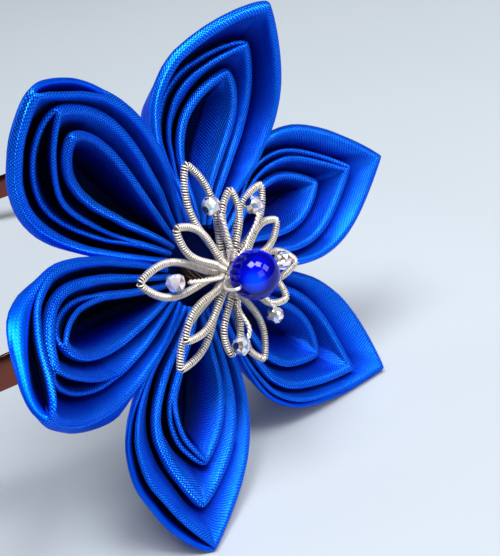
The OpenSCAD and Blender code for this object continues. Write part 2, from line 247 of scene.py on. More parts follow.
# Steps along one side of a fold, and points of its cross-section: shares of the way down the wall,
# steps over half of the rolled rim, and steps down into a slit
STEPS = 44
SHARES = (1, 0.97, 0.88, 0.76, 0.64, 0.52, 0.41, 0.31, 0.22, 0.15, 0.09, 0.05)
ARC_STEPS, SLIT_STEPS = 7, 5
# A rim's roll fades into the wall over this depth, and a slit this wide parts the rim fully
ROLL_DEPTH, PARTING = 1.7, 0.5
# Bulge of a wall, as a share of its depth
BULGE = 0.065
# Share of the depth where a curl is largest, and its share at the top of the rim
CURL_AT, CURL_TOP = 0.12, 0.6
# Ripples of the cloth: height, and how often they come along and up the wall
BROAD_RIPPLE, FINE_RIPPLE = (0.22, 0.16, 0.1), (0.07, 0.5, 0.25)
# A leaning ply comes nearest to the next fold this far below its rim, and keeps this space from it
LAP_DROP, LAP_SPACE = 1.6, 0.95
# Least and largest share of the depth where it may come nearest
LAP_HIGH, LAP_LOW = 0.15, 0.7
# Depth over which painted shade darkens the inner plies of the outer and middle folds, and the outer
# plies of the middle and inner folds
GAP_SHADE_DEPTH, OUTER_SHADE_DEPTH = 3.8, 2
# Share of its tone that a leaning ply loses to painted shade near the next fold, for each petal
LEAN_SHADE = (0.7, 0.7, 0.7, 0.7, 0.55, 0.55)
# How plainly each fold shows its weave
WEAVE_PLAIN = (0.65, 0.8, 0.9)
# Floor of a fold: steps along and across it, way above the back edges and past them, space down to its
# under side, and for each fold the sag of both sides and the bulge of the under side
FLOOR_STEPS, FLOOR_SIDES, FLOOR_UP, FLOOR_PAST, FLOOR_SPACE = 30, 11, 0.35, 0.4, 0.25
FLOOR_SAG, FLOOR_BULGE = (0.5, 0.35, 0.25), (1.2, 0, 0)
# Painted shade on the floor: tone of the upper side at the root, what it gains at the tip, and tone
# of the under side
FLOOR_SHADE, FLOOR_SHADE_GAIN, UNDER_SHADE = 0.01, 0.1, 0.8


def by_side(side, a, b):
    return np.where(side == 0, a, b)


def slit_width(fold, petal, side, s):
    """Width of the slit between the plies at stations s from 0 at the root to 1 at the tip."""
    g = np.zeros_like(s)
    for f, p, d, start, width, lean in SLITS:
        if (f, p) == (fold, petal):
            at = np.clip((s - start) / (1 - start), 0, 1) ** lean
            parted = width * np.sqrt(np.maximum(0, np.sin(np.pi * at)))
            g = np.where(side == d, np.maximum(g, parted), g)
    return g


def curl_out(fold, petal, side, s):
    """Level outward curl of an outer fold near its tip."""
    start = by_side(side, 0.35, 0.6)
    reach = by_side(side, BACKS[petal, CURL], BACKS[petal, CURL + 1]) * (fold == 0)
    return reach * ease((s - start) / 0.25) * (1 - 0.75 * ease((s - start - 0.2) / (0.8 - start)))


def rim_points(fold, petal, side, s, tilt=True):
    """Rim of a fold in the petal's own frame, for arrays of sides and of stations."""
    row = FOLDS[fold, petal]
    full = by_side(side, row[FULL], row[FULL + 1])
    wide = by_side(side, row[WIDE], row[WIDE + 1])
    spread = np.maximum(0, np.sin(np.pi * s ** (1 + 0.2 * fold + 0.7 * full))) ** (1 - 0.63 * full)
    pinch = ROOT_PITCH * (2.5 - fold) * (1 - s) ** 2
    x = ROOT_R + (row[LENGTH] - ROOT_R) * s
    y = by_side(side, 1, -1) * (wide * spread + pinch) + row[BOW] * 4 * s * (1 - s) + row[SWAY] * s
    z = ROOT_Z + (row[RISE] - ROOT_Z) * s - row[DIP] * 6.75 * s * s * (1 - s)
    if tilt:
        z = z + BACKS[petal, TILT] * y * np.minimum(1, 4 * s)
    return np.stack([x, y, z], 1)


def back_points(fold, petal, side, s):
    """Back edge of a fold's wall under the same stations."""
    level = rim_points(fold, petal, side, s, tilt=False)[:, 2]
    row, back = FOLDS[fold, petal], BACKS[petal]
    root_half = ROOT_PITCH * (2.5 - fold)
    sway, bow = FOLDS[:, petal, SWAY].mean(), FOLDS[:, petal, BOW].mean()
    wide = np.maximum(root_half, by_side(side, back[0], back[1]) * BACK_SHARE[fold])
    half = root_half + (wide - root_half) * np.sin(np.pi / 2 * np.minimum(1, 2 * s))
    blunt = np.sqrt(np.maximum(0, 1 - s ** 6))
    depth = ROOT_DEPTH + (FOLD_DEPTH[fold] - ROOT_DEPTH) * np.minimum(1, 1.8 * s)
    x = ROOT_R + (row[LENGTH] - back[SET_IN] * SET_IN_SHARE[fold] - ROOT_R) * s
    y = by_side(side, 1, -1) * half * blunt + sway * s + bow * 4 * s * (1 - s)
    z = np.maximum(level - depth, np.minimum(FLOOR_Z, level - 4)) + back[TILT] * y * np.minimum(1, 4 * s)
    return np.stack([x, y, z], 1)


def outward(path, down):
    """Direction out of the wall at each point of a path, lengthened where the path turns a corner."""
    ends = np.vstack([path[:1], path, path[-1:]])
    along = unit(ends[2:] - ends[:-2])
    ahead = unit(np.vstack([path[1:] - path[:-1], path[-1:] - path[-2:-1]]))
    out = unit(np.cross(down, along))
    return out / np.maximum(0.6, (ahead * along).sum(1))[:, None]


def wall_sections(wall, rim, g):
    """Cross-section at each station, from the outer back edge over the rim to the inner one: share of the
    way down, added depth, offset to the outer side, share of the curl, and how far inside the slit it is."""
    e, r = g / 2, rim / 2
    parted = np.minimum(1, g / PARTING)
    pocket = np.minimum(0.6 * wall, 2 + 3 * g)
    # share, depth, half of the thickness, bulge, curl, inside
    rows = []
    for u in SHARES:
        roll = np.exp(-(u * wall / ROLL_DEPTH) ** 2)
        closing = 0.15 if u == 1 else 1
        half = closing * (WALL_T / 2 + (r - WALL_T / 2) * roll) + e * (1 - u)
        curl = u / CURL_AT * np.exp(1 - u / CURL_AT)
        rows.append((u, 0, half, BULGE * wall * 4 * u * (1 - u), curl, 0))
    for j in range(ARC_STEPS + 1):
        t = j / ARC_STEPS
        whole = r * np.cos(np.pi / 2 * t), -r * np.sin(np.pi / 2 * t)
        ply = e + r / 2 + r / 2 * np.cos(np.pi * t), -0.75 * r * np.sin(np.pi * t)
        depth = whole[1] + (ply[1] - whole[1]) * parted
        half = whole[0] + (ply[0] - whole[0]) * parted
        rows.append((0, depth, half, 0, CURL_TOP * (1 - t) ** 1.5, 0.3 * parted * (j == ARC_STEPS)))
    for j in range(1, SLIT_STEPS + 1):
        t = j / SLIT_STEPS
        depth = -r + (pocket * t + r) * parted
        rows.append((0, depth, e * (1 - t) ** 0.6, 0, 0, parted * (0.5 + 0.5 * t)))
    share, depth, half, bulge, curl, inside = (
        np.stack([np.broadcast_to(value, g.shape) for value in column], 1) for column in zip(*rows)
    )

    def both(outer, inner):
        """Values of the outer ply and, from the bottom of the slit back up, of the inner one."""
        return np.hstack([outer, inner[:, -2::-1]])

    return (both(share, share), both(depth, depth), both(half + bulge, bulge - half), both(curl, 0 * curl),
            both(inside, inside))


def ripples(grid, size, often, often_up, seed):
    """Seeded waves over a grid of points."""
    return size * np.array([
        [noise.noise(Vector((often * x, often * y, often_up * z + seed))) for x, y, z in row] for row in grid
    ])


def lap_over(fold, petal, side, s, rim_path, fall):
    """Way that the inner ply leans over towards the next fold at each station, and the share of its depth
    where it comes nearest to it."""
    if fold == 2:
        return np.zeros_like(rim_path), np.full(len(s), 0.5)
    dense = 120
    next_side, next_s = np.repeat([0, 1], dense), np.tile(np.linspace(0, 1, dense), 2)
    following = rim_points(fold + 1, petal, next_side, next_s)
    slit = slit_width(fold + 1, petal, next_side, next_s)
    away = following[None, :, :2] - rim_path[:, None, :2]
    far = np.linalg.norm(away, axis=2)
    near = far.argmin(1)
    nearest = np.arange(len(s)), near
    ahead = np.pad(unit(away[nearest]), ((0, 0), (0, 1)))
    drop = rim_path[:, 2] - following[near, 2] + LAP_DROP
    least = np.clip(drop / np.linalg.norm(fall, axis=1), LAP_HIGH, LAP_LOW)
    room = far[nearest] - RIM_T * RIM_SHARE[fold + 1] / 2 - slit[near] / 2 - LAP_SPACE
    room = room - least * (fall * ahead).sum(1)
    side_a, side_b, tip = LAPS[petal]
    share = by_side(side, side_a, side_b)
    share = share + (tip - share) * ease((s - 0.7) / 0.3)
    return ahead * (np.maximum(0, room) * share)[:, None], least


def soften_tip(grid, run, s, share, inner):
    """Round the corner at the tip off: a little at the rim, more down the plies."""
    between = run[:, None] - run[None, :]
    step = np.gradient(run)
    out = grid.copy()
    for j in range(grid.shape[1]):
        reach = 0.3 + (3.0 if inner[j] else 1.2) * min(1, share[len(s) // 2, j] / 0.25)
        width = 0.02 + reach * ease((s - 0.6) / 0.4)
        weight = np.exp(-0.5 * (between / width[:, None]) ** 2) * step[None, :]
        out[:, j] = (weight / weight.sum(1, keepdims=True)) @ grid[:, j]
    return out


def painted_shade(fold, petal, side, s, share, inside, inner, deep, lap, least):
    """Painted shade over a fold: 1 on open cloth, darker down in the gaps, and darkest inside a slit."""
    leaning = np.linalg.norm(lap, axis=1)[:, None] * inner > 1
    sunk = np.maximum(0, share - np.where(leaning, 0.8 * least, 0)) * deep[:, None]
    fade = by_side(side, *HOLLOW_SHADE[petal])[:, None] if fold == 2 else GAP_SHADE_DEPTH
    fade = np.where(inner, fade, OUTER_SHADE_DEPTH) * (0.3 + 0.7 * ease(s / 0.45))[:, None]
    shade_tone = np.where(inner | (fold > 0), np.exp(-(sunk / fade) ** 1.25), 1)
    shade_tone = shade_tone * (1 - np.where(leaning, LEAN_SHADE[petal], 0) * ease(share / least))
    shade_tone = shade_tone * (1 - 0.98 * np.minimum(1, 1.5 * inside))
    # The back edges show from behind, so they keep little painted shade
    return np.where(inner, shade_tone, np.maximum(shade_tone, 0.8 * ease((share - 0.85) / 0.1)))


def fold_wall(fold, petal):
    """A fold's wall of doubled satin, from the root along side b to the tip and back along side a. Gives a
    grid of points, a row for each station and a column for each point of the cross-section, its UV layers
    and its flat width and length."""
    half_s = (1 - np.cos(np.pi * np.arange(STEPS + 1) / STEPS)) / 2
    side = np.concatenate([np.ones(STEPS + 1), np.zeros(STEPS)]).astype(int)
    s = np.concatenate([half_s, half_s[-2::-1]])
    rim_path, back_path = rim_points(fold, petal, side, s), back_points(fold, petal, side, s)
    # The way down the wall at each station
    fall = back_path - rim_path
    deep = np.linalg.norm(fall, axis=1)
    down = fall / deep[:, None]
    rim_out, back_out = outward(rim_path, down), outward(back_path, down)
    level_out = outward(rim_path, np.broadcast_to([0.0, 0.0, -1.0], down.shape))
    rim = WALL_T - 0.1 + (RIM_T * RIM_SHARE[fold] - WALL_T + 0.1) * np.minimum(1, 1.5 * s)
    share, depth, offset, curl, inside = wall_sections(deep, rim, slit_width(fold, petal, side, s))
    out = rim_out[:, None] * (1 - share[..., None]) + back_out[:, None] * share[..., None]
    curled = (curl * curl_out(fold, petal, side, s)[:, None])[..., None] * level_out[:, None]
    grid = rim_path[:, None] + share[..., None] * fall[:, None] + depth[..., None] * down[:, None]
    seed = 7.3 * fold + 3.1 * petal
    waves = ripples(grid, *BROAD_RIPPLE, seed) + ripples(grid, *FINE_RIPPLE, -seed)
    grid = grid + out * (offset + np.minimum(1, 3 * s)[:, None] * waves)[..., None] + curled
    count, sides = grid.shape[:2]
    inner = np.arange(sides) > sides // 2
    lap, least = lap_over(fold, petal, side, s, rim_path, fall)
    least = least[:, None]
    over = np.where(share < least, (share / least) ** 0.85, 1 - 0.85 * ease((share - least) / (1 - least)))
    grid = grid + (over * inner)[..., None] * lap[:, None]
    run = run_along(rim_path)
    grid = soften_tip(grid, run, s, share, inner)
    widths = np.linalg.norm(np.diff(grid, axis=1), axis=2)
    across = np.hstack([np.zeros((count, 1)), np.cumsum(widths, axis=1)])
    cloth = np.stack(np.broadcast_arrays(run[:, None], across[count // 2][None]), -1)
    shade_tone = painted_shade(fold, petal, side, s, share, inside, inner, deep, lap, least)
    # The weave shows plainly on the rims and inner plies, and less on the smooth outer plies
    from_crest = across[:, sides // 2, None] - across
    plain = WEAVE_PLAIN[fold] * np.where(inner | (fold > 0), 1, 1 - 0.8 * ease((from_crest - 1) / 3))
    flat_width = float(np.interp(np.linspace(0, run[-1], 60), run, across[:, -1]).mean())
    return grid, cloth, np.stack([shade_tone, plain], -1), (flat_width, run[-1])


def fold_floor(fold, petal):
    """Narrow floor between the back edges of a fold: an upper side dark with painted shade and a lighter
    under side, which lies open behind. Gives both grids of points, with the painted shade tone of each."""
    t = np.linspace(0.03, 0.995, FLOOR_STEPS)
    side_a = np.zeros(FLOOR_STEPS, int)
    a, b = back_points(fold, petal, side_a, t), back_points(fold, petal, side_a + 1, t)
    apart = np.linalg.norm(a - b, axis=1)
    v = np.linspace(0, 1, FLOOR_SIDES)
    sag = FLOOR_SAG[fold] * 4 * (v - v * v)
    past = np.minimum(0.5, FLOOR_PAST / np.maximum(0.1, apart))[:, None]
    v = v[None] * (1 + 2 * past) - past
    top = a[:, None] * (1 - v)[..., None] + b[:, None] * v[..., None]
    top[..., 2] += FLOOR_UP - sag[None] * np.minimum(1, apart / 6)[:, None]
    bulge = FLOOR_BULGE[fold] * ease((t - 0.25) / 0.2)[:, None] * np.clip(1 - (2 * v - 1) ** 4, 0, 1)
    bottom = top.copy()
    bottom[..., 2] -= FLOOR_SPACE + bulge
    shade_dark = np.broadcast_to((FLOOR_SHADE + FLOOR_SHADE_GAIN * t ** 4)[:, None], top.shape[:2])
    return (top, shade_dark), (bottom, np.full(top.shape[:2], UNDER_SHADE))


def fold_cloth(fold, petal, material):
    """One fold as a sheet of satin. The layer "cloth" holds the way along and across the cloth, and "shade"
    the tone of its painted shade and how plainly the weave shows."""
    grid, cloth, shade, (flat_width, flat_length) = fold_wall(fold, petal)
    points, faces = grid.reshape(-1, 3), skin_faces(*grid.shape[:2], closed=False)
    uv = {"cloth": cloth.reshape(-1, 2), "shade": shade.reshape(-1, 2)}
    upper, under = fold_floor(fold, petal)
    for (strip, shade_tone), flip in ((upper, False), (under, True)):
        faces += skin_faces(*strip.shape[:2], start=len(points), closed=False, flip=flip)
        points = np.concatenate([points, strip.reshape(-1, 3)])
        uv["cloth"] = np.concatenate([uv["cloth"], upper[0][..., :2].reshape(-1, 2)])
        flat_shade = np.stack([shade_tone, np.ones_like(shade_tone)], -1)
        uv["shade"] = np.concatenate([uv["shade"], flat_shade.reshape(-1, 2)])
    name = f"{PETAL_NAMES[petal]}_{FOLD_NAMES[fold]}"
    cut = piece("satin_" + name, "petal_" + name, from_petal(points, petal), faces, material, uv)


# Materials

def new_material(name):
    mat = bpy.data.materials.new(name)
    mat.use_nodes = True
    return mat, mat.node_tree, mat.node_tree.nodes["Principled BSDF"]


def feed(tree, socket, value):
    """Link a socket to an output, or set it to a value."""
    if isinstance(value, bpy.types.NodeSocket):
        tree.links.new(value, socket)
    else:
        socket.default_value = value


def put(tree, made, **values):
    """Feed a node's sockets by their names, with underscores for spaces."""
    for key, value in values.items():
        feed(tree, made.inputs[key.replace("_", " ")], value)
    return made


def node(tree, kind, settings=None, **values):
    """A shader node with its settings, and its sockets by their names."""
    made = tree.nodes.new(kind)
    for key, value in (settings or {}).items():
        setattr(made, key, value)
    return put(tree, made, **values)


def uv_layer(tree, name):
    return node(tree, "ShaderNodeUVMap", {"uv_map": name}).outputs["UV"]


def own_place(tree, kind):
    """A coordinate of the piece's own: Object, Generated or Normal."""
    return node(tree, "ShaderNodeTexCoord").outputs[kind]


def cloudy(tree, **values):
    return node(tree, "ShaderNodeTexNoise", **values).outputs["Fac"]


def bands(tree, direction, **values):
    settings = {"wave_type": "BANDS", "bands_direction": direction}
    return node(tree, "ShaderNodeTexWave", settings, Detail=2.5, Detail_Scale=1.3, **values).outputs["Fac"]


def maths(tree, operation, *values, clamp=False):
    made = node(tree, "ShaderNodeMath", {"operation": operation, "use_clamp": clamp})
    for socket, value in zip(made.inputs, values):
        feed(tree, socket, value)
    return made.outputs["Value"]


def mixed(tree, kind, factor, a, b):
    """From a to b by a factor, for the kinds FLOAT and RGBA."""
    return node(tree, "ShaderNodeMix", {"data_type": kind}, Factor=factor, A=a, B=b).outputs["Result"]


def ramp(tree, factor, stops):
    """Colours along a factor, from rows of place and colour."""
    made = node(tree, "ShaderNodeValToRGB", Fac=factor)
    elements = made.color_ramp.elements
    for element, (place, colour) in zip(elements, (stops[0], stops[-1])):
        element.position, element.color = place, (*colour, 1)
    for place, colour in stops[1:-1]:
        elements.new(place).color = (*colour, 1)
    return made.outputs["Color"]


def raised(tree, height, strength, distance):
    """Bumped normal, with the distance in metres."""
    return node(tree, "ShaderNodeBump", Strength=strength, Distance=distance, Height=height).outputs["Normal"]


# Satin: turn of the twill against the cloth in degrees, what the weave is made of, and what the tone is
TWILL_TURN = 52
TWILL_SHARE, LINES_SHARE, THREAD_SHARE = 0.3, 0.85, 0.3
WEAVE_SHARE, CLOUD_SHARE = 0.85, 0.2
# Even level of smooth cloth, where the weave doesn't show
SMOOTH_LEVEL = 0.53
# Place of the cloth's own blue between the painted shade of the weave's valleys and the painted
# highlight on its crests
BLUE_AT = 0.55


def satin_weave(tree, cloth):
    """Height of fine twill lines and floats along the cloth's own directions, with threads across them."""
    turned_cloth = node(tree, "ShaderNodeMapping", Vector=cloth, Rotation=(0, 0, math.radians(TWILL_TURN)))
    twill_place = turned_cloth.outputs["Vector"]
    twill = bands(tree, "X", Vector=twill_place, Scale=0.74, Distortion=2.6)
    floats = bands(tree, "Y", Vector=twill_place, Scale=0.6, Distortion=3.4)
    stretched = node(tree, "ShaderNodeMapping", Vector=cloth, Scale=(0.35, 1.6, 1)).outputs["Vector"]
    thread = cloudy(tree, Vector=stretched, Scale=3.0, Detail=3.0, Roughness=0.6)
    lines = maths(tree, "MULTIPLY_ADD", twill, TWILL_SHARE, maths(tree, "MULTIPLY", twill, floats))
    return maths(tree, "MULTIPLY_ADD", lines, LINES_SHARE, maths(tree, "MULTIPLY", thread, THREAD_SHARE))


def satin(name, shade_dark, light, crest, gloss):
    """Satin with a blue sheen, darkened by painted shade where the shade layer says so: the darker, the
    less green and red it has and the less metal. The weave gets painted shade and a painted highlight."""
    mat, tree, bsdf = new_material(name)
    cloth = uv_layer(tree, "cloth")
    shade = node(tree, "ShaderNodeSeparateXYZ", Vector=uv_layer(tree, "shade"))
    shade_tone, plain = shade.outputs["X"], shade.outputs["Y"]
    weave = mixed(tree, "FLOAT", plain, SMOOTH_LEVEL, satin_weave(tree, cloth))
    cloud = maths(tree, "MULTIPLY", cloudy(tree, Vector=cloth, Scale=0.22, Detail=3.0), CLOUD_SHARE)
    level = maths(tree, "MULTIPLY_ADD", weave, WEAVE_SHARE, cloud, clamp=True)
    # The ramp paints shade in the weave's valleys and a pale highlight on its crests
    colour = ramp(tree, level, ((0, shade_dark), (BLUE_AT, light), (1, crest)))
    # Painted shade: the shade layer darkens the colour, its green and red the most, and cuts the metal share
    shade_squared = maths(tree, "POWER", shade_tone, 2)
    shade_tint = node(tree, "ShaderNodeCombineXYZ", X=shade_squared, Y=shade_squared, Z=shade_tone).outputs["Vector"]
    shaded_colour = node(tree, "ShaderNodeVectorMath", {"operation": "MULTIPLY"})
    feed(tree, shaded_colour.inputs[0], colour)
    feed(tree, shaded_colour.inputs[1], shade_tint)
    put(tree, bsdf, Base_Color=shaded_colour.outputs["Vector"], Metallic=maths(tree, "MULTIPLY", shade_tone, 0.7),
        Normal=raised(tree, weave, 0.5, 0.00012), Roughness=gloss, Specular_IOR_Level=0.1,
        Specular_Tint=(0.08, 0.33, 1, 1), Sheen_Weight=0.03, Sheen_Roughness=0.3, Sheen_Tint=(0.2, 0.5, 1, 1))
    return mat


def metal(name, colour, rough, scale, strength, metallic):
    """Metal with a fine grain in its tone and its surface."""
    mat, tree, bsdf = new_material(name)
    grain = cloudy(tree, Vector=own_place(tree, "Object"), Scale=scale, Detail=3.0)
    darker = (*[0.8 * c for c in colour], 1)
    put(tree, bsdf, Base_Color=mixed(tree, "RGBA", grain, darker, (*colour, 1)),
        Normal=raised(tree, grain, strength, 0.0001), Metallic=metallic, Roughness=rough)
    return mat


# Painted glints and reflections on a crystal's facets, by a value that hangs on the way each faces:
# most of them a painted near-white highlight
CRYSTAL_GLINTS = (
    (0.3, (0.02, 0.05, 0.3)),
    (0.36, (0.12, 0.12, 0.16)),
    (0.42, (1, 0.98, 0.95)),
    (0.48, (1, 0.98, 0.95)),
    (0.51, (0.25, 0.15, 0.1)),
    (0.54, (1, 1, 1)),
    (0.6, (0.9, 0.94, 1)),
    (0.63, (0.85, 0.5, 0.65)),
    (0.66, (0.15, 0.6, 1)),
    (0.7, (0.9, 0.85, 0.8)),
    (0.76, (0.3, 0.12, 0.06)),
)


def crystal_glass():
    """Cut glass with a coat, its facets coloured with painted glints and reflections: white, blue, brown and
    rainbow.
    """
    mat, tree, bsdf = new_material("crystal")
    facet = cloudy(tree, Vector=own_place(tree, "Normal"), Scale=2.1, Detail=0.0)
    put(tree, bsdf, Base_Color=ramp(tree, facet, CRYSTAL_GLINTS), Roughness=0.06, IOR=1.7, Metallic=0.6,
        Coat_Weight=1.0, Coat_Roughness=0.0, Coat_IOR=1.7)
    return mat


# Painted light and shade of the bead's glass, from where it faces the eye to its edge
BEAD_PAINTED_LIGHT = (
    (0, (0.0, 0.002, 0.6)),
    (0.2, (0.0, 0.001, 0.42)),
    (0.4, (0.0, 0.0, 0.16)),
    (0.58, (0.0, 0.0, 0.22)),
    (0.78, (0.006, 0.0, 0.8)),
    (1, (0.004, 0.0, 0.4)),
)
# Round patches in it, two of painted shade and one painted glow: offset from its middle in the flower's
# frame, radius, share, colour
BEAD_PAINTED_PATCHES = (
    ((-4.1, 2.7, 0.6), 3.6, 0.8, (0.0, 0.0, 0.1)),
    ((0.2, 0.7, 4.9), 3.6, 0.7, (0.0, 0.0, 0.13)),
    ((-3.4, -1.7, 3.2), 3.0, 0.85, (0.0, 0.08, 1.0)),
)


def cobalt_glass():
    """Cobalt glass with painted light: a glow in the middle, painted shade further out and a lighter
    edge, with two patches of painted shade and a painted glow low on one side."""
    mat, tree, bsdf = new_material("cobalt_glass")
    facing = node(tree, "ShaderNodeLayerWeight", Blend=0.5).outputs["Facing"]
    colour = ramp(tree, facing, BEAD_PAINTED_LIGHT)
    place = own_place(tree, "Generated")
    for offset, radius, share, painted_patch_colour in BEAD_PAINTED_PATCHES:
        away = node(tree, "ShaderNodeVectorMath", {"operation": "DISTANCE"})
        feed(tree, away.inputs[0], place)
        feed(tree, away.inputs[1], tuple(0.5 + FLOWER_AXES @ offset / BEAD_D))
        near = node(tree, "ShaderNodeMapRange", {"interpolation_type": "SMOOTHSTEP"}, From_Min=0.05,
                    Value=away.outputs["Value"], From_Max=radius / BEAD_D, To_Min=share, To_Max=0.0)
        colour = mixed(tree, "RGBA", near.outputs["Result"], colour, (*painted_patch_colour, 1))
    put(tree, bsdf, Base_Color=colour, Roughness=0.1, Specular_IOR_Level=0.0, Coat_Weight=0.6,
        Coat_Roughness=0.03, Coat_Tint=(0.85, 0.8, 1, 1))
    return mat


def felt():
    """Felt with short fibres, near black blue."""
    mat, tree, bsdf = new_material("felt")
    fibres = cloudy(tree, Vector=own_place(tree, "Object"), Scale=1400.0, Detail=5.0, Roughness=0.75)
    put(tree, bsdf, Base_Color=mixed(tree, "RGBA", fibres, (0.0, 0.002, 0.03, 1), (0.001, 0.008, 0.1, 1)),
        Normal=raised(tree, fibres, 0.9, 0.0003), Roughness=0.95, Specular_IOR_Level=0.05)
    return mat


def pale_floor():
    mat, tree, bsdf = new_material("pale_floor")
    grain = cloudy(tree, Scale=40.0, Detail=4.0)
    put(tree, bsdf, Base_Color=mixed(tree, "RGBA", grain, (0.36, 0.4, 0.44, 1), (0.4, 0.44, 0.48, 1)),
        Roughness=0.75)
    return mat


# Wire flower

# Its middle
HUB = (0, -1.3, 0)
# Diameters of the coil, the twisted stems, the wire through the bead, the bead and a crystal
COIL_D, STEM_D, BEAD_WIRE_D, BEAD_D, CRYSTAL_D = 1.6, 1, 0.8, 10, 4
# Heights of the two rings of loops, radius of the knot, and height of its top
OUTER_Z, INNER_Z, HUB_R = -4.1, -2.1, 4.2
HUB_TOP = INNER_Z - COIL_D / 2 + 0.1
# Wire loops of the outer and the inner ring: angle, reach, half-width
LOOPS = (
    ((121, 24.5, 3.3), (63, 21, 3.1), (7, 22, 3.1), (-56, 22, 3.3), (-123, 22.5, 3.2), (-175, 23.5, 3.4)),
    ((97, 17, 2.6), (42, 17, 2.7), (-17, 17.5, 2.6), (-90, 16.5, 2.5), (-135, 18.5, 2.6), (153, 18.5, 2.7)),
)
# Crystals: angle, reach, height
CRYSTALS = (
    (119.5, 15.1, -1.8),
    (74.4, 14.5, -0.9),
    (12.8, 13.8, -0.9),
    (-32, 16.5, -3.0),
    (-91, 14.3, 0.8),
    (-173, 15.3, -3.0),
)
# Height of the bead's middle, and angle of its hole
BEAD_Z, BEAD_TURN = 3.5, 31
# Coil: radius of its helix and of its wire, pitch, and radius of the core between its turns, which is
# dark with painted shade
COIL_HELIX_R, COIL_WIRE_R, COIL_PITCH, COIL_CORE_R = COIL_D / 2 - 0.155, 0.15, 0.51, COIL_D / 2 - 0.34
# Twisted stem: radius of the helix that its two wires follow and of each wire, and pitch
STEM_HELIX_R, STEM_WIRE_R, STEM_PITCH = 0.24, 0.25, 1.7
# Coils in the knot, a little slimmer: radius of the helix and of the wire, and pitch
STUB_HELIX_R, STUB_WIRE_R, STUB_PITCH = COIL_D / 2 - 0.22, 0.17, 0.49
# Knot: radius of its core and of its neck, and of the bindings and the wires on them
KNOT_R, NECK_R, BINDING_R, NECK_WIRES_R = 2.8, 2.2, 2.9, 2.25


def from_hub(points, angle):
    """World places in metres of points round the knot's middle, with x at an angle in the flower."""
    return from_flower(points @ turn("Z", angle).T + HUB)


def resample(path, step):
    run = run_along(path)
    count = max(3, int(round(run[-1] / step)) + 1)
    at = np.linspace(0, run[-1], count)
    return np.stack([np.interp(at, run, path[:, i]) for i in range(3)], 1)


def with_ends(path):
    """A path lengthened by one straight step at each end."""
    return np.vstack([2 * path[0] - path[1], path, 2 * path[-1] - path[-2]])


def smooth_path(points, count):
    """Smooth curve through points."""
    p = with_ends(np.asarray(points, float))
    t = np.linspace(0, 1, count, endpoint=False)[:, None]
    out = []
    for a, b, c, d in zip(p, p[1:], p[2:], p[3:]):
        square, cube = 2 * a - 5 * b + 4 * c - d, 3 * b - a - 3 * c + d
        out.append(0.5 * (2 * b + (c - a) * t + square * t ** 2 + cube * t ** 3))
    return np.vstack(out + [p[-2:-1]])


def directions(path):
    ends = with_ends(path)
    return unit(ends[2:] - ends[:-2])


def path_axes(path, upright):
    """Unit vectors across and over a path, with a fixed upright reference."""
    along = directions(path)
    across = unit(np.cross(along, upright))
    return across, np.cross(across, along)


def round_skin(centre, across, over, radius, sides):
    """Points and faces of a round bar with closed ends, from the axes of its sections."""
    angle = 2 * np.pi * np.arange(sides) / sides
    ring = across[:, None] * np.cos(angle)[None, :, None] + over[:, None] * np.sin(angle)[None, :, None]
    points = (centre[:, None] + radius * ring).reshape(-1, 3)
    return points, skin_faces(len(centre), sides, flip=True) + end_caps(len(centre), sides)


def tube(path, radius, sides, upright=(0, 0, 1)):
    """A round bar along a path."""
    return round_skin(path, *path_axes(path, upright), radius, sides)


def wound(path, radius, wire, pitch, per_turn, sides, upright=(0, 0, 1), phase=0.0, seed=0.0, jitter=0.0):
    """A round wire wound round a path, in `per_turn` steps a turn, uneven by `jitter` turns."""
    fine = resample(path, pitch / per_turn)
    across, over = path_axes(fine, upright)
    run = np.arange(len(fine)) / per_turn
    if jitter:
        run = run + jitter * np.array([noise.noise(Vector((0.05 * i, seed, 0))) for i in range(len(fine))])
    angle = 2 * np.pi * run + phase
    out = across * np.cos(angle)[:, None] + over * np.sin(angle)[:, None]
    centre = fine + radius * out
    along = directions(centre)
    beside = unit(np.cross(along, out))
    return round_skin(centre, beside, np.cross(beside, along), wire, sides)


def loop_path(ring, index, count=60):
    """Pointed loop from the knot out to its tip and back."""
    _, reach, wide = LOOPS[ring][index]
    start, foot = HUB_R + GAP + COIL_D / 2, COIL_D * 0.52
    s = np.linspace(0, 1, count)
    y = foot * (1 - s) + (wide - foot / 2) * np.maximum(0, np.sin(np.pi * s ** 1.25)) ** 0.9
    half = np.stack([start + (reach - start) * s, y, np.full(count, (OUTER_Z, INNER_Z)[ring])], 1)
    return np.vstack([half * (1, -1, 1), half[-2::-1]])


def wire_loop(ring, index, wire, shade_core):
    path = resample(loop_path(ring, index), 0.3)
    # Round the point off a little, as a bent coil does
    for _ in range(6):
        path[1:-1] = 0.25 * path[:-2] + 0.5 * path[1:-1] + 0.25 * path[2:]
    inside = tube(path, COIL_CORE_R, 8)
    seed = ring + 0.37 * index
    coil = wound(path, COIL_HELIX_R, COIL_WIRE_R, COIL_PITCH, 12, 6, seed=seed, jitter=0.2)
    points, faces = join([inside, coil])
    name = f"{('outer', 'inner')[ring]}_{index + 1}"
    loop = piece("coil_" + name, "wire_loop_" + name, from_hub(points, LOOPS[ring][index][0]), faces, wire)
    # The core tube, seen between the turns, is dark with painted shade
    paint(loop, shade_core, slice(0, len(inside[1])))


def stem_path(index):
    """From beside the knot's middle over the loops and out to the crystal."""
    _, reach, z = CRYSTALS[index]
    short = (CRYSTAL_D / 2 + GAP / 2 + STEM_D / 3) * math.sqrt(0.5)
    end_x, end_z = reach - short, z + short
    crest = INNER_Z + COIL_D / 2 + STEM_D / 2 + 1.5 * GAP
    rows = [
        (HUB_R - 1, 0, HUB_TOP + STEM_D / 2 + GAP),
        (HUB_R + 1.2, 0, crest - 0.15),
        (HUB_R + 3, 0, crest + 0.1),
        (HUB_R + 3 + (end_x - HUB_R - 3) * 0.6, 0, max(crest, end_z)),
        (end_x, 0, end_z),
    ]
    return smooth_path(rows, 12)


